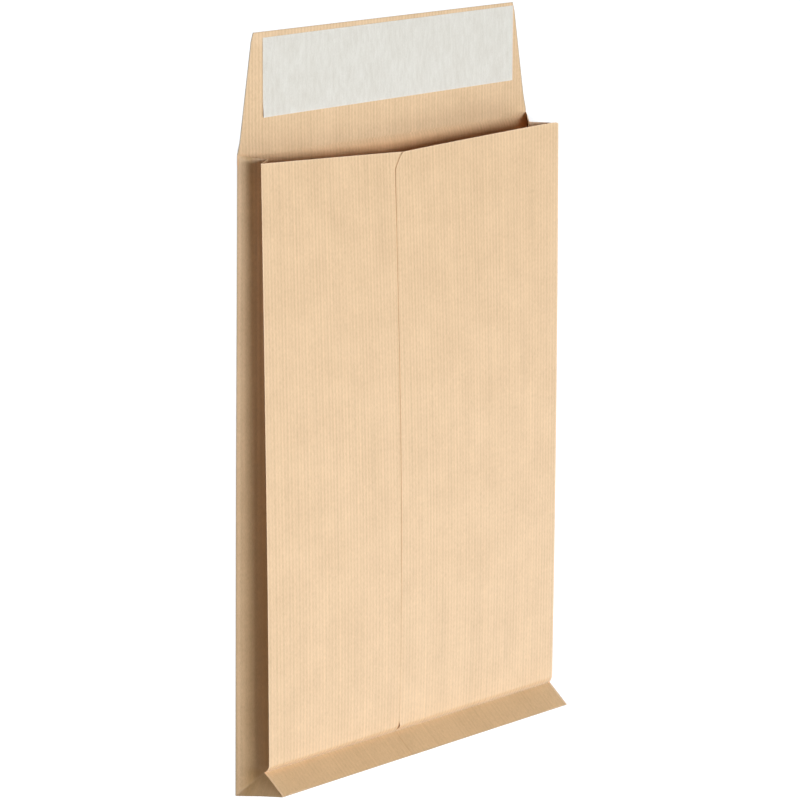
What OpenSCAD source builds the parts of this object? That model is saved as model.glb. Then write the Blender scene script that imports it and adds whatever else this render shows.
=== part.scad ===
/* [Sheet] */
// Width of the envelope across its face
width = 229; // [160:1:330]
// Length of the address side, from the bottom edge to the flap's fold
length = 324; // [220:1:420]
// Width of each side gusset, laid out flat
gusset = 32.5; // [26:0.5:50]
// Thickness of the kraft paper
paper_t = 0.2; // [0.12:0.01:0.35]

/* [Opened shape] */
// Height of the front over the back at the mouth's left corner
mouth_left = 16.4; // [8:0.1:24]
// Height of the front over the back at the mouth's right corner
mouth_right = 20.2; // [8:0.1:24]
// How much lower the front lies half way across the mouth
mouth_sag = 3.1; // [0:0.1:6]
// How far the front's left side stands out past the bottom crease
swell_left = 2.9; // [0:0.1:4]
// How far the front's right side stands out past the bottom crease
swell_right = 1.8; // [0:0.1:4]
// Length over which the front bends into the bottom crease
swell_bend = 4.6; // [4.2:0.1:12]
// How far the front's left side bulges half way to the mouth
bow_left = 0.3; // [0:0.1:3]
// How far the front's right side bulges half way to the mouth
bow_right = 0.8; // [0:0.1:3]

/* [Mouth] */
// How far the front's left corner ends below the flap's fold
throat_left = 0.8; // [0:0.1:8]
// How far the front's right corner ends below the flap's fold
throat_right = 1.7; // [0:0.1:8]
// How far the front's edge dips from its corners to the seam
throat_dip = 4.7; // [0:0.1:12]

/* [Centre seam] */
// Place of the seam's edge, from the middle of the face
seam_x = -12.7; // [-40:0.1:20]
// How far the right half laps over the left half
seam_lap = 15; // [10:0.5:30]
// Thickness of the glue line between the two halves
glue_t = 0.05; // [0.03:0.01:0.1]
// Length over which the lapped half comes back down to the face
lap_ramp = 4; // [2:0.5:10]
// Width of the cut corner of the lapped half
corner_w = 6.8; // [2:0.1:9]
// Part of that width which is a plain slant, before the corner rounds over
corner_slant = 5.2; // [0:0.1:8]
// Height of the cut corner of the lapped half
corner_h = 8.8; // [3:0.1:20]

/* [Flap] */
// Length of the flap from its fold to its tip
flap = 60.9; // [50:0.1:120]
// How far each side of the flap draws in by the tip
flap_taper = 12.5; // [0:0.1:40]
// How far each side steps in just past the fold
shoulder_in = 1.8; // [0:0.1:5]
// Length of that step
shoulder_len = 4; // [1:0.5:10]
// How far the flap was cut off centre, to the right
flap_shift = -1.2; // [-3:0.1:3]
// How much the flap's tip corners are clipped across
tip_clip = 0.8; // [0:0.1:5]
// Length of the clipped corners along the sides
tip_clip_len = 4.5; // [1:0.5:12]

/* [Bottom] */
// How far the opened bottom leans from square to the back
bottom_lean = 9.9; // [0:0.1:20]
// Slope of the folded strip in front of the crease
strip_slope = 40.5; // [30:0.5:75]
// How far the end triangles lean into the envelope
triangle_lean = 40; // [20:1:60]
// Length over which the gusset fold rises from the end triangle to its full depth
fold_blend = 25; // [10:1:80]
// How far the bottom's two glued flaps lap over each other
bottom_lap = 9; // [3:0.5:20]

/* [Closure] */
// Distance from the flap's fold to the release strip
liner_up = 19.1; // [5:0.1:25]
// Distance from the release strip to the flap's tip
liner_tip_gap = 2.4; // [0.5:0.1:8]
// Distance from the strip's left end to the flap's side, at its tip
liner_left_gap = 7; // [1:0.1:20]
// Distance from the strip's right end to the flap's side, at its tip
liner_right_gap = 0.5; // [0.5:0.1:20]
// Slant at which the strip was laid
liner_turn = 0.36; // [-0.6:0.02:0.6]
// Thickness of the release strip
liner_t = 0.08; // [0.05:0.01:0.2]
// Margin of the release strip around the adhesive
liner_margin = 4; // [1:0.5:6]
// Thickness of the adhesive band
adhesive_t = 0.08; // [0.05:0.01:0.2]

/* [Facets] */
// Steps across each half of the front
face_steps = 8; // [4:1:16]
// Steps along the front
long_steps = 16; // [8:1:40]
// Steps across half a gusset
gusset_steps = 3; // [1:1:8]

/* [Hidden] */
kraft = [0.86, 0.74, 0.58];
side = width / 2;
fold = gusset / 2;
foot_end = fold + swell_bend;
middle_y = (length + flap) / 2;
// The open bottom's front edge and the crease above it, as [y, z]
heel = gusset * [sin(bottom_lean), cos(bottom_lean)];
crease = heel + fold * [sin(strip_slope), -cos(strip_slope)];
strip_out = [cos(strip_slope), sin(strip_slope)];
face_out = [0, 1];
crease_out = (strip_out + face_out) / (1 + strip_out * face_out);
lap_rise = paper_t + glue_t;
lap_end = seam_x + seam_lap;
ramp_end = lap_end + lap_ramp;
// The bottom's glued layers press into each other a little, so that they hold as one
layer_pitch = 0.9 * paper_t;
bottom_flap = fold + bottom_lap / 2;
tip_half = side - flap_taper - tip_clip;
liner_w = flap - liner_up - liner_tip_gap;
liner_len = 2 * tip_half - liner_left_gap - liner_right_gap;
liner_x = flap_shift + (liner_left_gap - liner_right_gap) / 2;

function mix(a, b, t) = a + (b - a) * t;
function unit(v) = v / norm(v);
function clamp(t) = min(1, max(0, t));

// A row is a number. 0 to 1 is the strip below the crease, 1 to 2 the bend above it,
// 2 to 3 the body up to the mouth, and 3 to 4 the flap from its fold to its tip.
corner_rows = [for (k = [0, 0.35, 0.65, 0.85, 1]) 3 - (1 - k) * corner_h / (length - foot_end)];
rows = concat(
    [for (k = [0 : gusset_steps - 1]) k / gusset_steps],
    [1, 1.5],
    [for (k = [0 : long_steps - 1]) 2 + k / long_steps * (corner_rows[0] - 2)],
    corner_rows);
flap_rows = concat(
    [3 + shoulder_len / flap],
    [for (k = [1 : 4]) 3 + k / 5],
    [4 - tip_clip_len / flap, 4]);

// The front face, as [x, y, z] on its outer side

function across(x) = (x + side) / width;

function swell(x) = crease[1] + mix(swell_left, swell_right, across(x));

function knee(x) =
    let (out = swell(x) - crease[1])
    [crease[0] + sqrt(swell_bend * swell_bend - out * out), swell(x)];

function mouth_y(x) =
    let (low = seam_x + corner_w, far = x < low ? (low - x) / (low + side) : (x - low) / (side - low))
    length - mix(throat_left, throat_right, across(x)) - throat_dip * (1 - clamp(far));

function mouth(x) =
    let (u = across(x))
    [mouth_y(x), mix(mouth_left, mouth_right, u) - mouth_sag * 4 * u * (1 - u)];

// A bend that leaves the crease at a slant and joins the face smoothly
function bend(x, t) =
    let (low = crease, high = knee(x), pull = [mix(low[0], high[0], 0.55), high[1]])
    mix(mix(low, pull, t), mix(pull, high, t), t);

function bow(x, t) = [0, mix(bow_left, bow_right, across(x)) * 4 * t * (1 - t)];

function front_line(x, row) =
    row <= 1 ? mix(heel, crease, row) :
    row <= 2 ? bend(x, row - 1) :
    mix(knee(x), mouth(x), row - 2) + bow(x, row - 2);

function lift_way(row) =
    row <= 1 ? mix(strip_out, crease_out, row) :
    row <= 2 ? mix(crease_out, face_out, row - 1) :
    face_out;

function front(x, row, lift = 0) =
    let (p = front_line(x, row) + lift * lift_way(row))
    [x, p[0], p[1]];

// The lapped half lies a paper and a glue line higher, up to its ramp
function lap_lift(x) = lap_rise * clamp((ramp_end - x) / lap_ramp);

function seam_edge(row) =
    let (k = clamp((row - corner_rows[0]) / (3 - corner_rows[0])))
    seam_x + corner_slant * k + (corner_w - corner_slant) * pow(k, 8);

function left_half(k, row) = front(mix(lap_end, -side, k / face_steps), row);

function right_x(k, row) =
    k == 0 ? side :
    k < face_steps ? mix(side, ramp_end, k / (face_steps - 1)) :
    k == face_steps ? lap_end :
    mix(lap_end, seam_edge(row), (k - face_steps) / 2);

function right_half(k, row) =
    let (x = right_x(k, row))
    front(x, row, lap_lift(x));

// The gussets. inward is the way into the envelope, measured from its side

function back_edge(row) =
    row <= 1 ? row * fold :
    row <= 2 ? fold + (row - 1) * swell_bend :
    mix(foot_end, length, row - 2);

// The end triangle stands on the bottom edge, and its tip is where the folds meet
heel_corner = [0, heel[0], heel[1]];
triangle_foot = heel_corner / 2;
triangle_tip = triangle_foot
    + fold * sin(triangle_lean) * [1, 0, 0]
    + fold * cos(triangle_lean) * [0, cos(bottom_lean), -sin(bottom_lean)];

function centre_fold(back, face, row) =
    let (half = face[2] / 2,
         full = [sqrt(fold * fold - half * half), (back[1] + face[1]) / 2, half],
         t = clamp((back_edge(row) - fold) / fold_blend))
    mix(triangle_tip, full, t * t * (3 - 2 * t));

// One gusset half below the triangle's tip: the end triangle, then the wall over its diagonal
function below_tip(corner, wall, s, w) =
    w < s
    ? corner + (triangle_foot - corner) * s / fold + (triangle_tip - triangle_foot) * w / fold
    : w == 0 ? corner
    : mix(wall, mix(corner, triangle_tip, w / fold), s / w);

// s runs over the gusset's width, from the back edge to the front edge
function gusset_point(at_side, s, row) =
    let (face = front(at_side * side, row),
         wall_front = [0, face[1], face[2]],
         wall_back = [0, back_edge(row), 0],
         near = s <= fold,
         part = near ? s : gusset - s,
         wall = near ? wall_back : wall_front,
         corner = near ? [0, 0, 0] : heel_corner,
         p = row <= 1
             ? below_tip(corner, wall, part, row * fold)
             : mix(wall, centre_fold(wall_back, wall_front, row), part / fold))
    [at_side * (side - p[0]), p[1], p[2]];

// The back and the flap

function flap_in(y) =
    shoulder_in * clamp(y / shoulder_len)
    + (flap_taper - shoulder_in) * y / flap
    + tip_clip * clamp((y - flap + tip_clip_len) / tip_clip_len);

function back_point(u, row) =
    let (y = max(0, row - 3) * flap,
         half = side - flap_in(y),
         middle = flap_shift * clamp(y / shoulder_len))
    [middle + half * u, row <= 3 ? back_edge(row) : length + y, 0];

// The blank, column by column, from the edge under the seam round to the edge over it
gusset_columns = 2 * gusset_steps;
back_spans = [-1, -0.5, 0, 0.5, 1];
first_back = face_steps + gusset_columns;
last_back = first_back + len(back_spans) - 1;
columns = last_back + gusset_columns + face_steps + 2;
mouth_row = len(rows) - 1;

function blank_point(i, row) =
    i < face_steps ? left_half(i, row) :
    i < first_back ? gusset_point(-1, gusset * (1 - (i - face_steps) / gusset_columns), row) :
    i <= last_back ? back_point(back_spans[i - first_back], row) :
    i < last_back + gusset_columns ? gusset_point(1, gusset * (i - last_back) / gusset_columns, row) :
    right_half(i - last_back - gusset_columns, row);

function is_paper(i, j) =
    i >= 0 && i < columns && j >= 0
    && (j < mouth_row || (j < mouth_row + len(flap_rows) && i >= first_back && i < last_back));

// The end triangle's diagonals run up from both bottom corners, so its cells are split to match
function runs_up(i) =
    (i >= face_steps + gusset_steps && i < first_back)
    || (i >= last_back + gusset_steps && i < columns - face_steps - 2);

// A sheet over a grid of points, with its thickness on the side that the faces turn away from.
// keep(i, j) tells which cells are paper, and slant(i) which way a column's cells are split.
module folded_sheet(grid, thickness, keep, slant) {
    m = len(grid) - 1;
    n = len(grid[0]) - 1;
    count = (m + 1) * (n + 1);
    cell_out = [for (i = [0 : m - 1]) [for (j = [0 : n - 1])
        keep(i, j) ? unit(cross(grid[i + 1][j + 1] - grid[i][j], grid[i + 1][j] - grid[i][j + 1])) : 0]];
    function beside(i, j) = [for (k = [j - 1, j]) if (keep(i, k)) cell_out[i][k]];
    function sum(list) = len(list) == 2 ? list[0] + list[1] : list[0];
    // The inner point lies one thickness below both sides of a lengthwise fold, and of a crease
    function inner(i, j) =
        let (one = beside(i - 1, j), two = beside(i, j),
             left = len(one) > 0 ? one : two,
             right = len(two) > 0 ? two : one)
        len(left) == 0 ? grid[i][j] :
        let (a = sum(left), b = sum(right),
             miter = (unit(a) + unit(b)) / (1 + unit(a) * unit(b)),
             crease_share = (norm(a) / len(left) + norm(b) / len(right)) / 2)
        grid[i][j] - miter * thickness / crease_share;
    function at(i, j) = i * (n + 1) + j;
    function square(a, b, c, d, split) = split ? [[a, b, d], [b, c, d]] : [[a, b, c], [a, c, d]];
    function rim(a, b) = [[a, b, b + count], [a, b + count, a + count]];
    points = concat(
        [for (i = [0 : m], j = [0 : n]) grid[i][j]],
        [for (i = [0 : m], j = [0 : n]) inner(i, j)]);
    faces = [for (i = [0 : m - 1], j = [0 : n - 1]) if (keep(i, j))
        let (a = at(i, j), b = at(i + 1, j), c = at(i + 1, j + 1), d = at(i, j + 1), split = slant(i))
        each concat(
            square(a, b, c, d, split),
            [for (f = square(a, b, c, d, split)) [f[2] + count, f[1] + count, f[0] + count]],
            keep(i, j - 1) ? [] : rim(b, a),
            keep(i + 1, j) ? [] : rim(c, b),
            keep(i, j + 1) ? [] : rim(d, c),
            keep(i - 1, j) ? [] : rim(a, d))];
    polyhedron(points, faces, convexity = 10);
}

// The glued bottom. Its layers lie one on the other, and layer 0 is outermost

function layer_z(layer) = paper_t / 2 + layer * layer_pitch;

// How far a layer's edge stays inside a fold, whose two sides meet at this angle
function tuck(layer, angle) = (paper_t / 2 + layer_z(layer) * cos(angle)) / sin(angle);

function back_tuck(layer) = tuck(layer, 90 - bottom_lean);
function heel_tuck(layer) = gusset - tuck(layer, bottom_lean + strip_slope);
function end_tuck(layer) = side - tuck(layer, 90 - triangle_lean);

module bottom_layer(layer, corners) {
    hull()
        for (c = corners)
            rotate([90 - bottom_lean, 0, 0])
                translate([c[0], c[1], -layer_z(layer)])
                    sphere(d = paper_t, $fn = 8);
}

module bottom() {
    inner_end = side - bottom_flap;
    wide = end_tuck(0);
    front_edge = heel_tuck(0);
    bottom_layer(0, [[-wide, front_edge], [wide, front_edge],
        [inner_end, gusset - bottom_flap], [-inner_end, gusset - bottom_flap]]);
    back_wide = end_tuck(1);
    bottom_layer(1, [[-back_wide, back_tuck(1)], [back_wide, back_tuck(1)],
        [inner_end, bottom_flap], [-inner_end, bottom_flap]]);
    for (end = [-1, 1]) {
        corner = end * end_tuck(2);
        bottom_layer(2, [[corner, back_tuck(2)], [end * inner_end, back_tuck(2)],
            [end * inner_end, fold - paper_t]]);
        bottom_layer(2, [[corner, heel_tuck(2)], [end * inner_end, heel_tuck(2)],
            [end * inner_end, fold + paper_t]]);
        ear = end * end_tuck(3);
        bottom_layer(3, [[ear, back_tuck(3)], [ear, heel_tuck(3)],
            [end * inner_end, heel_tuck(3)], [end * inner_end, back_tuck(3)]]);
    }
}

module envelope_paper() {
    grid = [for (i = [0 : columns]) [for (row = concat(rows, flap_rows))
        blank_point(i, i >= first_back && i <= last_back ? row : min(row, 3))]];
    color(kraft)
        translate([0, -middle_y, 0]) {
            folded_sheet(grid, paper_t, function (i, j) is_paper(i, j), function (i) runs_up(i));
            bottom();
        }
}

// What lies on the flap's inner face, above the paper by this much
module on_flap(above) {
    translate([liner_x, length + liner_up + liner_w / 2 - middle_y, paper_t + above])
        rotate([0, 0, liner_turn])
            children();
}

module flat_strip(long, wide, thick) {
    translate([-long / 2, -wide / 2, 0])
        cube([long, wide, thick]);
}

module adhesive_band() {
    color([0.93, 0.9, 0.8])
        on_flap(0)
            flat_strip(liner_len - liner_margin, liner_w - 2 * liner_margin, adhesive_t);
}

module release_strip() {
    color([0.91, 0.88, 0.83])
        on_flap(adhesive_t)
            flat_strip(liner_len, liner_w, liner_t);
}

envelope_paper();
adhesive_band();
release_strip();
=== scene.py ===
"""Looks of a gusseted kraft envelope. It lies on its address side, with its mouth and its flap open."""

import math

import bpy
import numpy as np
from mathutils import Matrix, Vector


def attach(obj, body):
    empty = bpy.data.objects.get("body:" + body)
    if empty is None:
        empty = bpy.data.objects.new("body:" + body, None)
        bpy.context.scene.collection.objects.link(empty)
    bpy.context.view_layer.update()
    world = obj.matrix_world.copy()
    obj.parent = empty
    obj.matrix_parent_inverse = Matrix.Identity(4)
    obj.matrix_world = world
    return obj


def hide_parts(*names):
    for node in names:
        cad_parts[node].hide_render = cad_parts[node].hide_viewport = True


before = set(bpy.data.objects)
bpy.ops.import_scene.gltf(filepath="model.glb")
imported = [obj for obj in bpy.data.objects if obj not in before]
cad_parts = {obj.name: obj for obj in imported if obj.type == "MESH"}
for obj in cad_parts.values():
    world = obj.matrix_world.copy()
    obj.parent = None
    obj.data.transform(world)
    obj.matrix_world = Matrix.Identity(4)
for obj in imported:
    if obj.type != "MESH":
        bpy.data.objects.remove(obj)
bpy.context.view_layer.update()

MM = 0.001

# The sheet, in millimetres. These sizes are the solids' own
WIDTH = 229.0
LENGTH = 324.0
GUSSET = 32.5
PAPER_T = 0.2
MOUTH_LEFT = 16.4
MOUTH_RIGHT = 20.2
MOUTH_SAG = 3.1
SWELL_LEFT = 2.9
SWELL_RIGHT = 1.8
SWELL_BEND = 4.6
BOW_LEFT = 0.3
BOW_RIGHT = 0.8
THROAT_LEFT = 0.8
THROAT_RIGHT = 1.7
THROAT_DIP = 4.7
SEAM_X = -12.7
SEAM_LAP = 15.0
GLUE_T = 0.05
LAP_RAMP = 4.0
CORNER_W = 6.8
CORNER_SLANT = 5.2
CORNER_H = 8.8
FLAP = 60.9
FLAP_TAPER = 12.5
SHOULDER_IN = 1.8
FLAP_SHIFT = -1.2
TIP_CLIP = 0.8
TIP_CLIP_LEN = 4.5
BOTTOM_LEAN = math.radians(9.9)
STRIP_SLOPE = math.radians(40.5)
TRIANGLE_LEAN = math.radians(40)
FOLD_BLEND = 25.0
BOTTOM_LAP = 9.0
LINER_UP = 19.1
LINER_TIP_GAP = 2.4
LINER_LEFT_GAP = 7.0
LINER_RIGHT_GAP = 0.5
LINER_TURN = math.radians(0.36)
LINER_T = 0.08
ADHESIVE_T = 0.08

# What only shows up close, in millimetres
RIB_PITCH = 2.4
# How far the folds are rounded, in how many samples, and how close to the bottom's crease they stay sharp
FOLD_SOFTNESS = 0.32
FOLD_SAMPLES = 5
SHARP_CREASE = 0.35
# Height of the soft ridges on both sides of the flap's crease, and how far from it they are highest
CREASE_RELIEF = 0.35
CREASE_WIDTH = 2.2
# How far towards the knee the front's curve above the bottom's crease is pulled
KNEE_PULL = 0.55
# How far the front bulges half way across, and the power that puts its highest place below the middle
FRONT_BULGE = 2.4
BULGE_POWER = 0.716
# How far the lapped edge curls up, over what width, from how far below the mouth, and over what length
EDGE_LIFT = 0.12
EDGE_WIDTH = 5
CURL_START = 50
CURL_RUN = 45
# How many times as much it gapes above the bottom's crease, how far above, and how far to each side
GAPE_TIMES = 7
GAPE_PLACE = 3.6
GAPE_REACH = 3.2
# What share of the lap's rise is pressed flat by the bottom, from how far up, and over what length
PRESSED_SHARE = 0.6
PRESSED_FROM = 130
PRESSED_RUN = 60
# How far the left gusset's back half curls and dips at its upper edge, over what length, and which way
# it curls, as inwards and towards the back
LIP_CURL = 0.8
LIP_DIP = 0.5
LIP_LEN = 2.5
LIP_WAY = (0.5, 0.87)
# How far the upper edge of both gussets dips at their middle fold, and over what length
CENTRE_DIP = 0.3
CENTRE_REACH = 12
# How far the flap's crease runs up at both ends, over what length, and how steeply
CORNER_LIFT = 1.9
CORNER_REACH = 14.0
CORNER_POWER = 1.5
# How far the front's right upper corner is rounded off, and over what length
CORNER_DROP = 0.8
CORNER_ROUND = 5.0
# Where the flap's sides step in, from the fold, and over what length, and how far its tip is to the left
LEFT_STEP = (2.2, 4.0)
RIGHT_STEP = (-4.8, 5.4)
FLAP_SKEW = 0.6
# How far the back's left fold strays outwards by the bottom and inwards by the mouth, and from where
BACK_STRAY = 1.1
BACK_STRAY_IN = 0.55
BACK_TURN = 120
# The same for the front's left fold, with where its stray outwards ends and how long it takes to turn in
FRONT_STRAY = 0.5
FRONT_STRAY_END = 120
FRONT_STRAY_IN = 0.6
FRONT_TURN = 150
FRONT_TURN_RUN = 150
# How far that fold sinks for each millimetre inwards, and how far its bottom corner sticks out, and how
# soon that fades
STRAY_SINK = 0.85
CORNER_STRAY = 0.7
CORNER_FADE = 4
# How far the seam strays to the left by the bottom
SEAM_STRAY = 2.0
# How deep the bottom's inner flap is tucked in, in papers, from where, and over what length
TUCK_DEPTH = 1.15
TUCK_FROM = 2
TUCK_RUN = 6
# The ears' gaps to the side folds, to the bottom's edges and to the bottom itself, how deep they lie, in
# papers, and over what length they get there
EAR_SIDE_GAP = 0.3
EAR_EDGE_GAP = 0.4
EAR_GAP = 0.05
EAR_DEPTH = 2.4
EAR_RUN = 5
# Height of the release strip's waves, how far from its edges they fade, how far its lower left corner
# has come up, over what length, and the width of its pale rim
LINER_WAVES = 0.05
LINER_FLAT_EDGE = 5
LINER_CORNER = 0.45
LINER_CORNER_REACH = 9
LINER_RIM = 1.6

# The sheet's mesh: its steps in millimetres, its counts of rows and columns, and where its rows and
# columns lie close to a fold, above the bottom's crease, above the mouth and below a free edge
FINE_STEP = 0.8
FRONT_STEP = 3
BACK_STEP = 6
BOTTOM_STEP = 4
LAP_COLUMNS = 8
BODY_ROWS = 56
CORNER_ROWS = 15
FLAP_ROWS = 16
BY_FOLD = (0.3, 0.6, 1.0, 1.6, 2.4)
BY_CREASE = (0.3, 0.6, 1.0)
BY_MOUTH = (0.3, 0.6, 1.0, 1.5, 2.2, 3.0, 4.0, 5.0, 6.2)
BY_EDGE = (0.7, 0.35, 0)

# The sheet's tones. Places and widths are in millimetres, and strengths are parts of a full tint.
# Paler and darker lines along folds and edges. The pale lines on the front's folds are partly rubbed wear
# and partly painted highlight. Those on the mouth's edge and on the end triangles' diagonals are painted
# highlight. The dark lines along the back's folds, the flap's edges and the heel are painted shade. By the
# bottom the front's folds get a wider painted highlight
EDGE_LINE_WIDTH = 0.9
FOLD_HIGHLIGHT = 0.9
BOTTOM_HIGHLIGHT = 1.8
BOTTOM_HIGHLIGHT_WIDTH = 1.7
BOTTOM_HIGHLIGHT_END = 3
DIAGONAL_HIGHLIGHT = 0.7
DIAGONAL_WIDTH = 1.2
HEEL_SHADE = 0.6
# Painted shade: the strip below the crease is darker and more saturated. The front's foot above it is
# greyer and darker, and so is a line along it
STRIP_RAMP = 0.6
FOOT_TINT = 0.4
FOOT_TOP = 5
FOOT_RUN = 4
FOOT_RAMP = 0.8
LINE_TINT = 0.6
LINE_UP = 0.2
LINE_WIDTH = 1.4
CREASE_SHADE = 0.6
# Painted highlight: the rim along the front's right fold is paler and greyer
RIM_HIGHLIGHT = 1.5
RIM_WIDTH = 2.4
# Painted shade: the gussets are darker and more saturated between their folds, and the end triangles more
# so. Some way off the back fold there is less of it, and less again towards the mouth, where it turns into
# painted light
GUSSET_TINT = 1.5
GUSSET_FRONT_RAMP = 2
GUSSET_BACK_FROM = 1
GUSSET_BACK_RAMP = 7
TRIANGLE_RAMP = 3
PALER_FROM = 7
PALER_RAMP = 4
PALER_TINT = 0.5
UPPER_TINT = 2.4
UPPER_FROM = 80
UPPER_RUN = 200
# Inside, the pocket gets painted shade, darker and more saturated, and the flap's tip is pale. The flap's
# sides get dark lines of painted shade. The top of the right gusset, which faces the light, is painted pale
# and gets no pocket shade
POCKET_TOP = 1
POCKET_RAMP = 6
TIP_TINT = 0.4
TIP_LEN = 6
TIP_RAMP = 2
SIDE_SHADE = 1.3
LIT_TINT = 2
LIT_LEN = 20
LIT_RAMP = 15

# Patterns: their factor along the sheet, where less than 1 draws them out, then scale, detail, roughness
RIB_UNEVEN = (0.05, 190, 2)
FIBRES = (0.22, 2600, 4)
GRAIN = (0.5, 520, 2)
CLOUDS = (1, 45)
STREAKS = (0.02, 420, 2)
LINER_CREASES = (0.25, 480, 6, 0.7)
LINER_FIBRES = (0.5, 1900, 4)
LINER_CLOUDS = (0.5, 90, 2)
# What each tint adds to the red, green and blue factors
PALE_SPOTS = (1, 1.15, 1.4)
# Painted highlight, partly rubbed wear on the front's folds, and the painted light on the right gusset's top
HIGHLIGHT_AND_WEAR_TINT = (0.12, 0.18, 0.3)
# Painted shade along edges, the heel and the bottom's crease
PAINTED_SHADE_TINT = (-0.3, -0.22, -0.08)
# Painted shade, outside on the strip, the gussets and the end triangles, and inside in the pocket. Where its
# mask is below 0 it paints light instead
OUTSIDE_SHADE_TINT = (-0.04, -0.06, -0.12)
INSIDE_SHADE_TINT = (0.0, -0.14, -0.25)
# How much paler the release strip's rim is
LINER_RIM_PALER = (0.05, 0.05, 0.06)
# How much flatter the ribs are where shade is painted, and the fibres' height against that of the ribs
# or creases
RIB_LOSS = 0.3
FIBRE_HEIGHT = 0.5
LINER_FIBRE_HEIGHT = 0.3
# How deep the fine relief of the kraft and of the release strip is, in millimetres
KRAFT_BUMP = 0.02
LINER_BUMP = 0.12
LAMP_COLOUR = (0.94, 1.0, 1.06)

SIDE = WIDTH / 2
FOLD = GUSSET / 2
FOOT_END = FOLD + SWELL_BEND
MIDDLE_Y = (LENGTH + FLAP) / 2
BOTTOM_FLAP = FOLD + BOTTOM_LAP / 2
LAP_RISE = PAPER_T + GLUE_T
LAP_END = SEAM_X + SEAM_LAP
RAMP_END = LAP_END + LAP_RAMP
BOTTOM_WAY = np.array([math.sin(BOTTOM_LEAN), math.cos(BOTTOM_LEAN)])
BOTTOM_OUT = np.array([-BOTTOM_WAY[1], BOTTOM_WAY[0]])
HEEL = GUSSET * BOTTOM_WAY
CREASE = HEEL + FOLD * np.array([math.sin(STRIP_SLOPE), -math.cos(STRIP_SLOPE)])
STRIP_OUT = np.array([math.cos(STRIP_SLOPE), math.sin(STRIP_SLOPE)])
FACE_OUT = np.array([0.0, 1.0])

# Where the blank's panels end, counted across it from the edge under the seam
LEFT_EDGE = LAP_END + SIDE
BACK_START = LEFT_EDGE + GUSSET
BACK_END = BACK_START + WIDTH
RIGHT_EDGE = BACK_END + GUSSET


def mix(a, b, t):
    return a + (b - a) * t


def share(t):
    return np.clip(t, 0.0, 1.0)


def smooth(t):
    t = share(t)
    return t * t * (3 - 2 * t)


def points(x, y, z):
    return np.stack(np.broadcast_arrays(x, y, z), axis=-1)


def mouth_edge(x):
    """Height of the front's upper edge along the sheet. It dips towards the seam, and its right end is
    rounded off."""
    low = SEAM_X + CORNER_W
    far = np.where(x < low, (low - x) / (low + SIDE), (x - low) / (SIDE - low))
    rounded = CORNER_DROP * share((x - SIDE + CORNER_ROUND) / CORNER_ROUND) ** 2
    throat = mix(THROAT_LEFT, THROAT_RIGHT, (x + SIDE) / WIDTH)
    return LENGTH - throat - THROAT_DIP * (1 - share(far)) - rounded


def lap_lift(x, v):
    """How much higher the lapped half lies: a paper and a glue line, and less by the bottom, where it is
    pressed down. Its free edge curls up at its upper end, and gapes just above the bottom's crease."""
    curl = EDGE_LIFT * smooth((seam_edge(v) + EDGE_WIDTH - x) / EDGE_WIDTH)
    gape = GAPE_TIMES * smooth(1 - np.abs(v - FOLD - GAPE_PLACE) / GAPE_REACH)
    ends = smooth((v - LENGTH + CURL_START) / CURL_RUN) + gape
    pressed = PRESSED_SHARE * smooth((PRESSED_FROM - v) / PRESSED_RUN)
    return LAP_RISE * (1 - pressed) * smooth((RAMP_END - x) / LAP_RAMP) + curl * ends


def front_side(x, v, lapped=False):
    """The front's outer side at x, a distance v up the sheet. Below 0 it is the bottom's outer flap."""
    across = (x + SIDE) / WIDTH
    out = mix(SWELL_LEFT, SWELL_RIGHT, share(across))
    knee_y = CREASE[0] + np.sqrt(SWELL_BEND**2 - out**2)
    knee_z = CREASE[1] + out
    mouth_z = mix(MOUTH_LEFT, MOUTH_RIGHT, across) - MOUTH_SAG * 4 * across * (1 - across)
    row = np.interp(v, [0, FOLD, FOOT_END, LENGTH], [0, 1, 2, 3])
    pull_y = mix(CREASE[0], knee_y, KNEE_PULL)
    bend = share(row - 1)
    bend_y = mix(mix(CREASE[0], pull_y, bend), mix(pull_y, knee_y, bend), bend)
    bend_z = mix(mix(CREASE[1], knee_z, bend), knee_z, bend)
    up = share(row - 2)
    bow = mix(BOW_LEFT, BOW_RIGHT, across) * 4 * up * (1 - up)
    bow = bow + FRONT_BULGE * np.sin(math.pi * up**BULGE_POWER) * 4 * across * (1 - across)
    y = np.where(row < 2, bend_y, mix(knee_y, mouth_edge(x), up))
    z = np.where(row < 2, bend_z, mix(knee_z, mouth_z, up) + bow)
    y = np.where(row < 1, mix(HEEL[0], CREASE[0], row), y)
    z = np.where(row < 1, mix(HEEL[1], CREASE[1], row), z)
    under = np.maximum(-v, 0)
    y = y - under * BOTTOM_WAY[0]
    z = z - under * BOTTOM_WAY[1]
    narrow = 1 - under / SIDE
    if lapped:
        lift = lap_lift(x, v)
        way = mix(STRIP_OUT[:, None, None], FACE_OUT[:, None, None], share(row - 0.5))
        way = np.where(v < 0, BOTTOM_OUT[:, None, None], way)
        y = y + lift * way[0]
        z = z + lift * way[1]
    stray = front_stray(v)
    at_left = share(-x / SIDE) ** 4
    sunk = STRAY_SINK * np.maximum(-stray, 0) * at_left
    return points(x * narrow - stray * at_left, y, z - sunk)


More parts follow.
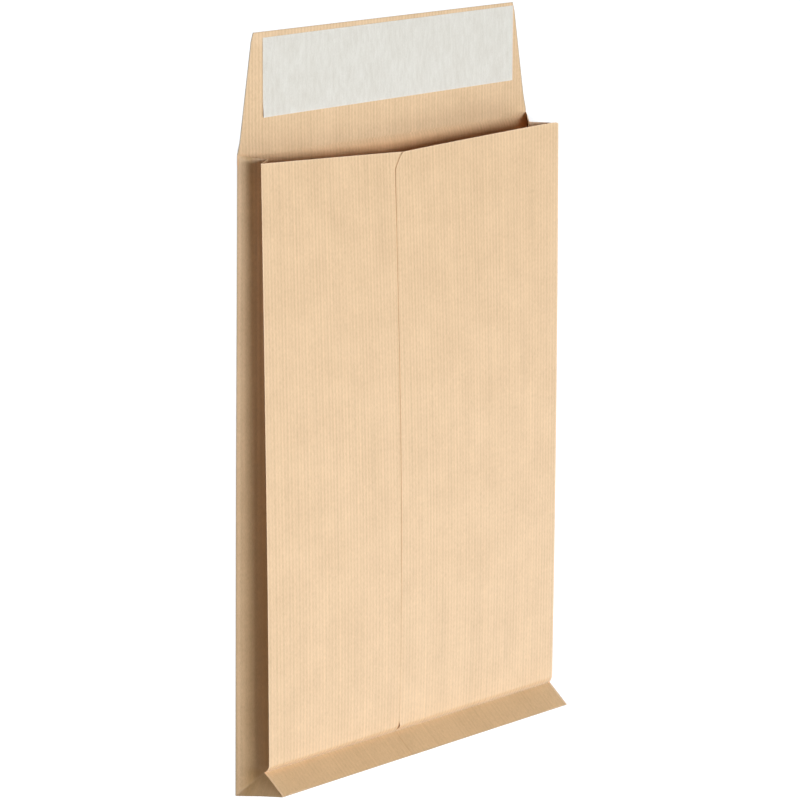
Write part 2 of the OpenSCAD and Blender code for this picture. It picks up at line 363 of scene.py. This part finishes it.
def gusset_side(at, s, v):
    """A side gusset's outer side. at is -1 or 1, and s runs over its width from the back to the front."""
    face = front_side(np.full_like(s, at * SIDE), np.maximum(v, 0))
    near = s <= FOLD
    part = np.clip(np.where(near, s, GUSSET - s), 0, FOLD)
    wall_back = points(0 * s, np.maximum(v, 0), 0 * s)
    wall_front = points(0 * s, face[..., 1], face[..., 2])
    wall = np.where(near[..., None], wall_back, wall_front)
    heel_corner = np.array([0.0, HEEL[0], HEEL[1]])
    foot = heel_corner / 2
    rise = np.array([0.0, math.cos(BOTTOM_LEAN), -math.sin(BOTTOM_LEAN)])
    tip = foot + FOLD * (math.sin(TRIANGLE_LEAN) * np.array([1.0, 0, 0]) + math.cos(TRIANGLE_LEAN) * rise)
    corner = np.where(near[..., None], 0 * heel_corner, heel_corner)
    w = np.clip(v, 0, FOLD)[..., None]
    p = part[..., None]
    triangle = corner + (foot - corner) * p / FOLD + (tip - foot) * w / FOLD
    diagonal = mix(corner, tip, w / FOLD)
    beside = mix(wall, diagonal, share(p / np.maximum(w, 1e-6)))
    low = np.where(p > w, triangle, beside)
    half = face[..., 2] / 2
    full = points(np.sqrt(FOLD**2 - half**2), (np.maximum(v, 0) + face[..., 1]) / 2, half)
    full[..., 1] -= CENTRE_DIP * smooth((v - LENGTH + CENTRE_REACH) / CENTRE_REACH)
    centre = mix(tip, full, smooth((v - FOLD) / FOLD_BLEND)[..., None])
    high = mix(wall, centre, p / FOLD)
    inward = np.where((v <= FOLD)[..., None], low, high)
    to_back = near * (1 - part / FOLD)
    to_front = ~near * (1 - part / FOLD)
    raised = CORNER_LIFT * to_back * smooth((v - LENGTH + CORNER_REACH) / CORNER_REACH)
    if at < 0:
        lip = share((v - LENGTH + LIP_LEN) / LIP_LEN) ** 2 * 4 * to_back * (1 - to_back)
        stray = -back_stray(v) * to_back - front_stray(v) * to_front
    else:
        lip = 0
        stray = right_step(v) * to_back
    x = inward[..., 0] + stray + LIP_WAY[0] * LIP_CURL * lip
    y = inward[..., 1] + raised - LIP_DIP * lip
    z = inward[..., 2] - LIP_WAY[1] * LIP_CURL * lip
    return points(at * (SIDE - x), y, z)


def back_stray(v):
    """How far the back's left fold strays outwards, and below 0 inwards, a distance v up the sheet."""
    inwards = BACK_STRAY_IN * smooth((v - BACK_TURN) / (LENGTH - BACK_TURN))
    return BACK_STRAY * share(1 - v / LENGTH) - inwards


def front_stray(v):
    """The same for the front's left fold, with its bottom corner."""
    corner = CORNER_STRAY * np.exp(-np.abs(v - FOLD) / CORNER_FADE)
    inwards = FRONT_STRAY_IN * smooth((v - FRONT_TURN) / FRONT_TURN_RUN)
    return FRONT_STRAY * smooth(1 - v / FRONT_STRAY_END) + corner - inwards


def left_step(v):
    """How far the flap's left side has stepped in, a distance v up the sheet."""
    return (SHOULDER_IN + FLAP_SHIFT) * share((v - LENGTH - LEFT_STEP[0]) / LEFT_STEP[1])


def right_step(v):
    """The same for its right side."""
    return (SHOULDER_IN - FLAP_SHIFT) * share((v - LENGTH - RIGHT_STEP[0]) / RIGHT_STEP[1])


def back_side(x, v):
    """The back with the flap, and below 0 the bottom's inner flap."""
    past = np.maximum(v - LENGTH, 0)
    under = np.maximum(-v, 0)
    clip = TIP_CLIP * share((past - FLAP + TIP_CLIP_LEN) / TIP_CLIP_LEN)
    taper = (FLAP_TAPER - SHOULDER_IN) * past / FLAP + clip
    skew = FLAP_SKEW * past / FLAP
    left = -SIDE - back_stray(v) + left_step(v) + taper - skew
    right = SIDE - right_step(v) - taper - skew
    flat_x = mix(left, right, (x + SIDE) / WIDTH) * (1 - under / SIDE)
    away = np.abs(v - LENGTH) / CREASE_WIDTH
    relief = CREASE_RELIEF * away * np.exp(1 - away)
    tucked = -TUCK_DEPTH * PAPER_T * smooth((under - TUCK_FROM) / TUCK_RUN)
    bump = smooth(1 - np.abs(v - LENGTH) / CORNER_REACH)
    raised = CORNER_LIFT * share(1 - (SIDE - np.abs(x)) / CORNER_REACH) ** CORNER_POWER * bump
    y = np.maximum(v, 0) + raised + under * BOTTOM_WAY[0] + tucked * BOTTOM_OUT[0]
    z = relief + under * BOTTOM_WAY[1] + tucked * BOTTOM_OUT[1]
    return points(flat_x, y, z)


def sheet(u, v):
    """A point of the folded sheet, u across its blank from the edge under the seam, and v up it."""
    panels = [
        front_side(LAP_END - u, v),
        gusset_side(-1, BACK_START - u, v),
        back_side(u - BACK_START - SIDE, v),
        gusset_side(1, u - BACK_END, v),
        front_side(SIDE + RIGHT_EDGE - u, v, lapped=True),
    ]
    which = np.searchsorted([LEFT_EDGE, BACK_START, BACK_END, RIGHT_EDGE], u, side="right")
    return np.choose(which[..., None], panels)


def soft_sheet(u, v):
    """The sheet with its folds rounded: each point is the average of the points close around it. Only the
    crease above the bottom stays sharp."""
    total = 0
    steps = np.linspace(-FOLD_SOFTNESS, FOLD_SOFTNESS, FOLD_SAMPLES)
    on_flap = v > LENGTH
    free = np.abs(v - FOLD) > SHARP_CREASE
    for du in steps:
        for dv in steps:
            beside = np.where(on_flap, np.clip(u + du, BACK_START, BACK_END - 1e-6), u + du)
            total = total + sheet(beside, v + dv * free)
    return total / len(steps) ** 2


def between(start, end, step, near=BY_FOLD):
    """Places from start to end, close together at both ends, where there is a fold."""
    count = max(2, round((end - start - 2 * near[-1]) / step) + 1)
    inner = np.linspace(start + near[-1], end - near[-1], count)
    return np.concatenate([[start], start + np.array(near[:-1]), inner, end - np.array(near[-2::-1])])


def seam_edge(v):
    """Where the lapped half ends. Its upper corner is cut at a slant and rounded."""
    k = share((v - LENGTH + CORNER_H) / CORNER_H)
    return SEAM_X - SEAM_STRAY * share(1 - v / LENGTH) + CORNER_SLANT * k + (CORNER_W - CORNER_SLANT) * k**8


def blank_grid():
    """The blank's grid as u and v. Over the lap its columns follow the seam's edge."""
    half_gusset = between(0, FOLD, FINE_STEP)
    columns = np.concatenate([
        between(0, LEFT_EDGE, FRONT_STEP),
        LEFT_EDGE + half_gusset,
        LEFT_EDGE + FOLD + half_gusset,
        between(BACK_START, BACK_END, BACK_STEP),
        BACK_END + half_gusset,
        BACK_END + FOLD + half_gusset,
        between(RIGHT_EDGE, RIGHT_EDGE + SIDE - LAP_END, FRONT_STEP),
    ])
    over_lap = np.linspace(0, 1, LAP_COLUMNS + 1)[1:]
    rows = np.concatenate([
        between(-BOTTOM_FLAP, 0, BOTTOM_STEP),
        half_gusset,
        between(FOLD, FOOT_END, FINE_STEP, near=BY_CREASE),
        np.linspace(FOOT_END + 2, LENGTH - CORNER_H - 1, BODY_ROWS),
        np.linspace(LENGTH - CORNER_H, LENGTH - BY_EDGE[0], CORNER_ROWS),
        LENGTH - np.array(BY_EDGE[1:]),
    ])
    flap_rows = np.concatenate([
        LENGTH + np.array(BY_MOUTH),
        np.linspace(LENGTH + 8, LENGTH + FLAP - TIP_CLIP_LEN, FLAP_ROWS),
        LENGTH + FLAP - np.array(BY_EDGE),
    ])
    columns = np.unique(np.round(columns, 4))
    rows = np.unique(np.round(rows, 4))
    v = np.concatenate([rows, flap_rows])
    seam_start = RIGHT_EDGE + SIDE - LAP_END
    seam_width = LAP_END - seam_edge(np.minimum(v, LENGTH))
    u = np.concatenate([
        np.broadcast_to(columns[:, None], (len(columns), len(v))),
        seam_start + over_lap[:, None] * seam_width[None, :],
    ])
    return u, np.broadcast_to(v, u.shape)


def cells(u, v):
    """The blank's faces. The end triangles' cells are split along the diagonal creases."""
    middle_u = (u[:-1, :-1] + u[1:, :-1]) / 2
    middle_v = (v[:-1, :-1] + v[:-1, 1:]) / 2
    on_back = (middle_u > BACK_START) & (middle_u < BACK_END)
    on_left = (middle_u > LEFT_EDGE) & (middle_u < BACK_START)
    on_right = (middle_u > BACK_END) & (middle_u < RIGHT_EDGE)
    kept = on_back | (middle_v < LENGTH) & ((middle_v > 0) | ~(on_left | on_right))
    index = np.arange(u.size).reshape(u.shape)
    faces = []
    for i, j in np.argwhere(kept):
        a, b, c, d = index[i, j], index[i + 1, j], index[i + 1, j + 1], index[i, j + 1]
        if (on_left[i, j] or on_right[i, j]) and middle_v[i, j] < FOLD:
            start = LEFT_EDGE if on_left[i, j] else BACK_END
            first_half = middle_u[i, j] < start + FOLD
            faces += [[a, c, b], [a, d, c]] if first_half else [[a, d, b], [b, d, c]]
        else:
            faces.append([a, d, c, b])
    return faces


def thicken(outer, faces, thickness):
    """A second skin under the first, and the rim between them."""
    normals = np.zeros_like(outer)
    border = {}
    for f in faces:
        p = outer[f]
        across = np.cross(p[2] - p[0], p[-1] - p[1])
        normals[f] += across / max(np.linalg.norm(across), 1e-12)
        for a, b in zip(f, f[1:] + f[:1]):
            if (b, a) in border:
                del border[(b, a)]
            else:
                border[(a, b)] = True
    lengths = np.maximum(np.linalg.norm(normals, axis=1), 1e-12)
    inner = outer - normals / lengths[:, None] * thickness
    count = len(outer)
    inside = [[k + count for k in reversed(f)] for f in faces]
    rim = [[b, a, a + count, b + count] for a, b in border]
    return np.concatenate([outer, inner]), faces + inside + rim


def make_mesh(name, vertices_mm, faces, blank, tone, inner_faces=()):
    """A mesh in metres. blank holds each vertex's place on the flat sheet in millimetres, and tone the
    paper's painted shade and its paler and darker marks there. They become its UV maps. inner_faces get the
    second material."""
    used = np.unique(np.concatenate([np.array(f) for f in faces]))
    renumber = np.full(len(vertices_mm), -1)
    renumber[used] = np.arange(len(used))
    mesh = bpy.data.meshes.new(name)
    mesh.from_pydata((vertices_mm[used] * MM).tolist(), [], [renumber[f].tolist() for f in faces])
    inner = np.zeros(len(faces), dtype=np.int32)
    inner[list(inner_faces)] = 1
    mesh.polygons.foreach_set("material_index", inner)
    mesh.validate()
    corners = np.zeros(len(mesh.loops), dtype=np.int64)
    mesh.loops.foreach_get("vertex_index", corners)
    for label, values in (("blank", blank[used] * MM), ("tone", tone[used])):
        uv = mesh.uv_layers.new(name=label)
        uv.data.foreach_set("uv", values[corners].astype(np.float32).ravel())
    mesh.polygons.foreach_set("use_smooth", np.ones(len(mesh.polygons), dtype=bool))
    mesh.set_sharp_from_angle(angle=math.radians(55))
    piece = bpy.data.objects.new(name, mesh)
    bpy.context.scene.collection.objects.link(piece)
    return piece


def ears():
    """The ends of the gussets, folded flat inside the bottom."""
    vertices = []
    faces = []
    blank = []
    across = np.linspace(0, 1, 12)
    along = np.linspace(0, 1, 16)
    for end in (-1, 1):
        start = len(vertices)
        for a in across:
            for t in along:
                depth = -EAR_GAP - EAR_DEPTH * PAPER_T * smooth(a * BOTTOM_FLAP / EAR_RUN)
                s = mix(EAR_EDGE_GAP, GUSSET - EAR_EDGE_GAP, t)
                y, z = s * BOTTOM_WAY + depth * BOTTOM_OUT
                vertices.append([end * (SIDE - EAR_SIDE_GAP - a * BOTTOM_FLAP), y, z])
                blank.append([s, a * BOTTOM_FLAP])
        for i in range(len(across) - 1):
            for j in range(len(along) - 1):
                a = start + i * len(along) + j
                quad = [a, a + 1, a + len(along) + 1, a + len(along)]
                faces.append(quad if end > 0 else quad[::-1])
    return np.array(vertices), faces, np.array(blank)


def rib_place(u, v, x):
    """Where each point lies across the ribs, which run straight on where the blank's sides taper."""
    not_left = np.where(u >= RIGHT_EDGE, SIDE + RIGHT_EDGE - x, BACK_START + SIDE + x)
    along = np.where(u <= LEFT_EDGE, LAP_END - x, not_left)
    return np.where((v > LENGTH) | (v < 0), along, u)


def line(distance, width=EDGE_LINE_WIDTH):
    """1 on a line, and 0 from its width on."""
    return share(1 - np.abs(distance) / width)


def tones(u, v):
    """For the outer and the inner side, the painted shade, which paints light where it is below 0, and the
    paler and darker marks. Above 0 they are paler, as painted highlight and light, with rubbed wear on the
    front's folds and a pale tip on the flap. Below 0 they are darker, as painted shade."""
    from_front = np.minimum(u - LEFT_EDGE, RIGHT_EDGE - u)
    from_back = np.maximum(BACK_START - u, u - BACK_END)
    on_front = from_front < 0.01
    # Painted highlight along the front's folds, partly rubbed wear, and along the mouth's edge and the
    # diagonals. Painted shade along the back's folds, the flap's tip and the heel
    back_folds = line(from_back)
    tip = line(v - LENGTH - FLAP)
    mouth = on_front * line(v - LENGTH)
    heel = on_front * line(v)

    by_bottom = v < FOLD + BOTTOM_HIGHLIGHT_END
    highlight_strength = np.where(by_bottom, BOTTOM_HIGHLIGHT, FOLD_HIGHLIGHT)
    front_folds = highlight_strength * line(from_front, np.where(by_bottom, BOTTOM_HIGHLIGHT_WIDTH, EDGE_LINE_WIDTH))
    on_diagonal = line(np.minimum(from_front, from_back) - v, DIAGONAL_WIDTH)
    diagonals = DIAGONAL_HIGHLIGHT * on_diagonal * (from_front > 0) * (from_back > 0) * (v < FOLD)

    # Painted shade on the strip, and greyer, darker painted shade on the front's foot and a line above the
    # crease
    below = on_front * share((FOLD - v) / STRIP_RAMP)
    foot = share((FOLD + FOOT_TOP - v) / FOOT_RUN) * share((v - FOLD + FOOT_RAMP) / FOOT_RAMP)
    crease = on_front * (FOOT_TINT * foot + LINE_TINT * line(v - FOLD - LINE_UP, LINE_WIDTH))
    # Painted highlight on the rim of the front's right fold
    rim = RIM_HIGHLIGHT * line(u - RIGHT_EDGE, RIM_WIDTH)

    # Painted shade in the gussets and the end triangles, less further from the back fold, and painted light
    # near the mouth
    off_back = smooth((from_back - GUSSET_BACK_FROM) / GUSSET_BACK_RAMP)
    in_gusset = smooth(from_front / GUSSET_FRONT_RAMP) * off_back
    by_front = smooth((from_back - PALER_FROM) / PALER_RAMP)
    paler = (PALER_TINT + UPPER_TINT * smooth((v - UPPER_FROM) / UPPER_RUN)) * by_front
    in_gusset = in_gusset * (GUSSET_TINT + share((FOLD - v) / TRIANGLE_RAMP) - paler)

    painted_shade = np.where(on_front, below - rim - crease, in_gusset)
    outer_pale_dark = front_folds + mouth + diagonals - back_folds - tip - HEEL_SHADE * heel - CREASE_SHADE * crease
    outer = np.stack([painted_shade, outer_pale_dark], axis=-1)

    # Inside: a pale tip, dark lines of painted shade on the flap's sides and tip, painted light on the right
    # gusset's top and painted shade in the pocket
    pale_tip = TIP_TINT * share((v - LENGTH - FLAP + TIP_LEN) / TIP_RAMP)
    lit_wall = (u > BACK_END) * (u < RIGHT_EDGE) * smooth((v - LENGTH + LIT_LEN) / LIT_RAMP)
    inner_pale_dark = np.where(v > LENGTH, pale_tip - SIDE_SHADE * back_folds - tip, LIT_TINT * lit_wall)
    in_pocket = share((LENGTH + POCKET_TOP - v) / POCKET_RAMP)
    inner = np.stack([in_pocket * (1 - lit_wall), inner_pale_dark], axis=-1)
    return outer.reshape(-1, 2), inner.reshape(-1, 2)


def folded_paper():
    """The whole sheet, with its thickness and its ears."""
    u, v = blank_grid()
    outer = soft_sheet(u, v)
    blank = np.stack([rib_place(u, v, outer[..., 0]), v], axis=-1).reshape(-1, 2)
    outer = outer.reshape(-1, 3)
    outer_tone, inner_tone = tones(u, v)
    faces = [[int(k) for k in f] for f in cells(u, v)]
    ear_points, ear_faces, ear_blank = ears()
    ear_tone = np.zeros((len(ear_points), 2))
    faces += [[k + len(outer) for k in f] for f in ear_faces]
    outer = np.concatenate([outer, ear_points])
    outer[:, 1] -= MIDDLE_Y
    solid, all_faces = thicken(outer, faces, PAPER_T)
    solid[:, 2] = np.maximum(solid[:, 2], 0)
    blank = np.concatenate([blank, ear_blank, blank, ear_blank])
    tone = np.concatenate([outer_tone, ear_tone, inner_tone, ear_tone])
    return make_mesh("folded_paper", solid, all_faces, blank, tone, range(len(faces), 2 * len(faces)))


def release_strip():
    """The strip over the adhesive. It is a little wavy, and its lower left corner has come up."""
    tip_half = SIDE - FLAP_TAPER - TIP_CLIP
    long = 2 * tip_half - LINER_LEFT_GAP - LINER_RIGHT_GAP
    wide = FLAP - LINER_UP - LINER_TIP_GAP
    centre_x = FLAP_SHIFT + (LINER_LEFT_GAP - LINER_RIGHT_GAP) / 2
    centre_y = LENGTH + LINER_UP + wide / 2 - MIDDLE_Y
    across = np.linspace(-long / 2, long / 2, 160)
    up = np.linspace(-wide / 2, wide / 2, 36)
    a, b = np.meshgrid(across, up, indexing="ij")
    waves = np.sin(a / 9.1 + b / 23) + np.sin(a / 14.3 - b / 31 + 1.7) + np.sin(b / 7.7 + a / 57)
    from_long_edge = wide / 2 - np.abs(b)
    from_short_edge = long / 2 - np.abs(a)
    inside = smooth(from_long_edge / LINER_FLAT_EDGE) * smooth(from_short_edge / LINER_FLAT_EDGE)
    corner = smooth(1 - np.hypot(a + long / 2, b + wide / 2) / LINER_CORNER_REACH)
    flat_top = PAPER_T + ADHESIVE_T + LINER_T
    top = flat_top + LINER_WAVES * inside * (1 + waves / 3) + LINER_CORNER * corner
    x = centre_x + a * math.cos(LINER_TURN) - b * math.sin(LINER_TURN)
    y = centre_y + a * math.sin(LINER_TURN) + b * math.cos(LINER_TURN)
    outer = points(x, y, top).reshape(-1, 3)
    index = np.arange(a.size).reshape(a.shape)
    around = [index[:-1, :-1], index[1:, :-1], index[1:, 1:], index[:-1, 1:]]
    faces = np.stack(around, axis=-1).reshape(-1, 4)
    blank = np.stack([a.ravel(), b.ravel()], axis=-1)
    rim = line(np.minimum(from_long_edge, from_short_edge), LINER_RIM).ravel()
    tone = np.stack([0 * rim, rim], axis=-1)
    solid, all_faces = thicken(outer, faces.tolist(), LINER_T)
    blank = np.concatenate([blank, blank])
    tone = np.concatenate([tone, tone])
    return make_mesh("release_paper", solid, all_faces, blank, tone)


class Shader:
    """A material's nodes, linked as they are added."""

    def __init__(self, name, colour, roughness, specular=0.3):
        self.material = bpy.data.materials.new(name)
        self.material.use_nodes = True
        self.tree = self.material.node_tree
        self.surface = self.tree.nodes["Principled BSDF"]
        self.surface.inputs["Base Color"].default_value = (*colour, 1)
        self.surface.inputs["Roughness"].default_value = roughness
        self.surface.inputs["Specular IOR Level"].default_value = specular
        self.colour = colour

    def add(self, kind, inputs=(), **settings):
        node = self.tree.nodes.new(kind)
        for name, value in settings.items():
            setattr(node, name, value)
        for name, value in dict(inputs).items():
            if isinstance(value, bpy.types.NodeSocket):
                self.tree.links.new(value, node.inputs[name])
            else:
                node.inputs[name].default_value = value
        return node.outputs[0]

    def math(self, operation, a, b=0.0, c=0.0):
        return self.add("ShaderNodeMath", {0: a, 1: b, 2: c}, operation=operation)

    def blank(self, stretch=(1, 1, 1)):
        flat = self.add("ShaderNodeUVMap", uv_map="blank")
        return self.add("ShaderNodeMapping", {"Vector": flat, "Scale": stretch})

    def noise(self, along, scale, detail=3.0, roughness=0.6):
        """Noise on the flat sheet. A factor along it below 1 draws it out along the sheet."""
        vector = self.blank((1, along, 1))
        inputs = {"Vector": vector, "Scale": scale, "Detail": detail, "Roughness": roughness}
        return self.add("ShaderNodeTexNoise", inputs)

    def ribs(self, pitch):
        """Straight ribs along the sheet, of 0 to 1, a little uneven."""
        inputs = {
            "Vector": self.blank(),
            "Scale": 2 * math.pi / (20 * pitch * MM),
            "Distortion": 0.6,
            "Detail": 2.0,
            "Detail Scale": 0.05,
        }
        return self.add("ShaderNodeTexWave", inputs, wave_type="BANDS", bands_direction="X")

    def tone(self):
        """The painted shade, and how much paler and how much darker the paper is made, each from 0 to 1. On
        the kraft the paler marks are mostly painted highlight and the darker ones painted shade.
        """
        flat = self.add("ShaderNodeUVMap", uv_map="tone")
        split = self.add("ShaderNodeSeparateXYZ", {0: flat}).node
        worn = split.outputs[1]
        lightened = self.math("MAXIMUM", worn, 0.0)
        darkened = self.math("MAXIMUM", self.math("MULTIPLY", worn, -1.0), 0.0)
        return split.outputs[0], lightened, darkened

    def shade(self, parts, tints=()):
        """Multiplies the base colour by 1 plus each pattern, which runs from 0 to 1, times its strength.
        The pale spots are a little whiter. Each tint is a mask and what it adds to the red, green and
        blue factors."""
        total = 0.0
        for pattern, strength in parts:
            around = self.math("MULTIPLY", self.math("SUBTRACT", pattern, 0.5), 2 * strength)
            total = self.math("ADD", around, total)
        colour = self.colour
        for mask, change in [(total, PALE_SPOTS), *tints]:
            inputs = {0: self.spread(mask), 1: change, 2: (1, 1, 1)}
            factor = self.add("ShaderNodeVectorMath", inputs, operation="MULTIPLY_ADD")
            colour = self.add("ShaderNodeVectorMath", {0: colour, 1: factor}, operation="MULTIPLY")
        self.tree.links.new(colour, self.surface.inputs["Base Color"])

    def spread(self, value):
        return self.add("ShaderNodeCombineXYZ", {"X": value, "Y": value, "Z": value})

    def bump(self, height, distance, strength=1.0):
        inputs = {"Height": height, "Distance": distance * MM, "Strength": strength}
        normal = self.add("ShaderNodeBump", inputs)
        self.tree.links.new(normal, self.surface.inputs["Normal"])


def kraft(name, colour, roughness, specular, shade_tint):
    """Ribbed kraft paper: fine ribs along the sheet, fibres, grain, streaks and a faint cloudiness, with
    painted shade and painted highlight from the tone map. shade_tint is the tint of the painted shade."""
    s = Shader(name, colour, roughness, specular)
    painted_shade, lightened, darkened = s.tone()
    flatter = s.math("SUBTRACT", s.noise(*RIB_UNEVEN), s.math("MULTIPLY", painted_shade, RIB_LOSS))
    ribs = s.math("MULTIPLY_ADD", s.math("SUBTRACT", s.ribs(RIB_PITCH), 0.5), flatter, 0.5)
    fibres, grain, clouds, streaks = (s.noise(*kind) for kind in (FIBRES, GRAIN, CLOUDS, STREAKS))
    parts = [(ribs, 0.085), (fibres, 0.19), (grain, 0.06), (clouds, 0.1), (streaks, 0.08)]
    # The tone map's painted shade and painted highlight, with some rubbed wear, go into the colour here
    s.shade(parts, [(painted_shade, shade_tint), (lightened, HIGHLIGHT_AND_WEAR_TINT), (darkened, PAINTED_SHADE_TINT)])
    s.bump(s.math("ADD", ribs, s.math("MULTIPLY", fibres, FIBRE_HEIGHT)), KRAFT_BUMP)
    return s.material


def release_paper():
    """Pale, slightly glossy release paper with fine creases that mostly run across it."""
    s = Shader("release_paper", (0.79, 0.73, 0.635), 0.45)
    creases, fibres, clouds = (s.noise(*kind) for kind in (LINER_CREASES, LINER_FIBRES, LINER_CLOUDS))
    _, lightened, _ = s.tone()
    s.shade([(creases, 0.17), (fibres, 0.09), (clouds, 0.07)], [(lightened, LINER_RIM_PALER)])
    s.bump(s.math("ADD", creases, s.math("MULTIPLY", fibres, LINER_FIBRE_HEIGHT)), LINER_BUMP)
    return s.material


def adhesive():
    """The pale adhesive film under the strip."""
    s = Shader("adhesive_film", (0.85, 0.8, 0.66), 0.35)
    position = s.add("ShaderNodeTexCoord")
    grain = s.add("ShaderNodeTexNoise", {"Vector": position, "Scale": 700.0, "Detail": 3.0})
    s.shade([(grain, 0.05)])
    s.bump(grain, 0.03)
    return s.material


def lying(v):
    """A direction or place of the upright envelope, once it is laid down on its back."""
    return Vector((v[0], v[2], -v[1]))


def add_camera():
    """The photograph's view of the upright envelope, carried over to the envelope that lies down."""
    azimuth = math.radians(-49.608)
    elevation = math.radians(11.460)
    roll = math.radians(0.405)
    distance = 2.11965
    aim_across = 0.00683
    aim_up = 0.18661
    flat = Vector((math.cos(azimuth), math.sin(azimuth), 0))
    back = Vector((math.sin(azimuth), -math.cos(azimuth), 0)) * math.cos(elevation)
    back.z = math.sin(elevation)
    up = back.cross(flat)
    right = math.cos(roll) * flat + math.sin(roll) * up
    up = -math.sin(roll) * flat + math.cos(roll) * up
    target = aim_across * flat + Vector((0, 0, aim_up - MIDDLE_Y * MM))
    camera = bpy.data.objects.new("camera", bpy.data.cameras.new("camera"))
    camera.data.sensor_width = 36.0
    camera.data.lens = 184.66
    axes = Matrix([lying(right), lying(up), lying(back)]).transposed().to_4x4()
    camera.matrix_world = Matrix.Translation(lying(target + back * distance)) @ axes
    camera.data.clip_start = 0.05
    bpy.context.scene.collection.objects.link(camera)
    bpy.context.scene.camera = camera


def add_light(name, left, along, distance, size, watts):
    """A soft lamp that shines on the envelope, so many degrees to its left and towards its flap."""
    data = bpy.data.lights.new(name, "AREA")
    data.shape = "RECTANGLE"
    data.size = size[0]
    data.size_y = size[1]
    data.energy = watts
    data.color = LAMP_COLOUR
    lamp = bpy.data.objects.new(name, data)
    way = Vector((-math.tan(math.radians(left)), math.tan(math.radians(along)), 1)).normalized()
    lamp.location = way * distance
    lamp.rotation_mode = "QUATERNION"
    lamp.rotation_quaternion = way.to_track_quat("Z", "Y")
    bpy.context.scene.collection.objects.link(lamp)


def add_world(strength):
    """An even, pale surrounding that the camera sees as plain white."""
    world = bpy.data.worlds.new("surrounding")
    bpy.context.scene.world = world
    world.use_nodes = True
    tree = world.node_tree
    background = tree.nodes["Background"]
    level = tree.nodes.new("ShaderNodeMapRange")
    level.inputs["To Min"].default_value = strength
    level.inputs["To Max"].default_value = 1.0
    tree.links.new(seen_rays(tree), level.inputs["Value"])
    tree.links.new(level.outputs[0], background.inputs["Strength"])
    background.inputs["Color"].default_value = (1, 1, 1, 1)


def seen_rays(tree):
    """1 for the rays of the camera, of reflections and of what is seen through something, and else 0."""
    path = tree.nodes.new("ShaderNodeLightPath")
    seen = path.outputs["Is Camera Ray"]
    for kind in ("Is Glossy Ray", "Is Transmission Ray"):
        either = tree.nodes.new("ShaderNodeMath")
        either.operation = "MAXIMUM"
        tree.links.new(seen, either.inputs[0])
        tree.links.new(path.outputs[kind], either.inputs[1])
        seen = either.outputs[0]
    return seen


def add_floor():
    """A plain pale floor. The camera sees it almost white, with the envelope's soft shadow."""
    mesh = bpy.data.meshes.new("floor")
    reach = 4.0
    drop = 0.0001
    grey = 0.5
    seen_glow = 0.62
    corners = [(-reach, -reach, 0), (reach, -reach, 0), (reach, reach, 0), (-reach, reach, 0)]
    mesh.from_pydata(corners, [], [(0, 1, 2, 3)])
    floor = bpy.data.objects.new("floor", mesh)
    floor.location.z = -drop
    material = bpy.data.materials.new("pale_floor")
    material.use_nodes = True
    tree = material.node_tree
    surface = tree.nodes["Principled BSDF"]
    surface.inputs["Base Color"].default_value = (grey, grey, grey, 1)
    surface.inputs["Roughness"].default_value = 0.9
    surface.inputs["Specular IOR Level"].default_value = 0.1
    surface.inputs["Emission Color"].default_value = (1, 1, 1, 1)
    glow = tree.nodes.new("ShaderNodeMath")
    glow.operation = "MULTIPLY"
    glow.inputs[1].default_value = seen_glow
    tree.links.new(seen_rays(tree), glow.inputs[0])
    tree.links.new(glow.outputs[0], surface.inputs["Emission Strength"])
    mesh.materials.append(material)
    bpy.context.scene.collection.objects.link(floor)


def add_piece(piece, materials, node):
    """Dresses a piece and lets it stand for the solid of that node."""
    for material in materials:
        piece.data.materials.append(material)
    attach(piece, "root")
    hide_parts(node)


def cover_node(node, material):
    """Gives a solid that stays as it is its own material."""
    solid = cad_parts[node]
    solid.data.materials.clear()
    solid.data.materials.append(material)


outside = kraft("glazed_kraft", (0.84, 0.565, 0.325), 0.45, 0.25, OUTSIDE_SHADE_TINT)
inside = kraft("kraft_inside", (0.85, 0.582, 0.345), 0.8, 0.08, INSIDE_SHADE_TINT)
add_piece(folded_paper(), [outside, inside], "envelope_paper")
add_piece(release_strip(), [release_paper()], "release_strip")
cover_node("adhesive_band", adhesive())
add_floor()
add_camera()
add_world(0.02)
add_light("key", 12, 3.5, 2.0, (0.74, 1.2), 31)
add_light("right_fill", -50, -28, 2.0, (0.8, 0.8), 11)
add_light("low_fill", 0, -47, 2.0, (0.8, 0.8), 4)
add_light("left_fill", 30, -10, 2.0, (1.0, 1.0), 2)
bpy.context.scene.view_settings.view_transform = "Standard"
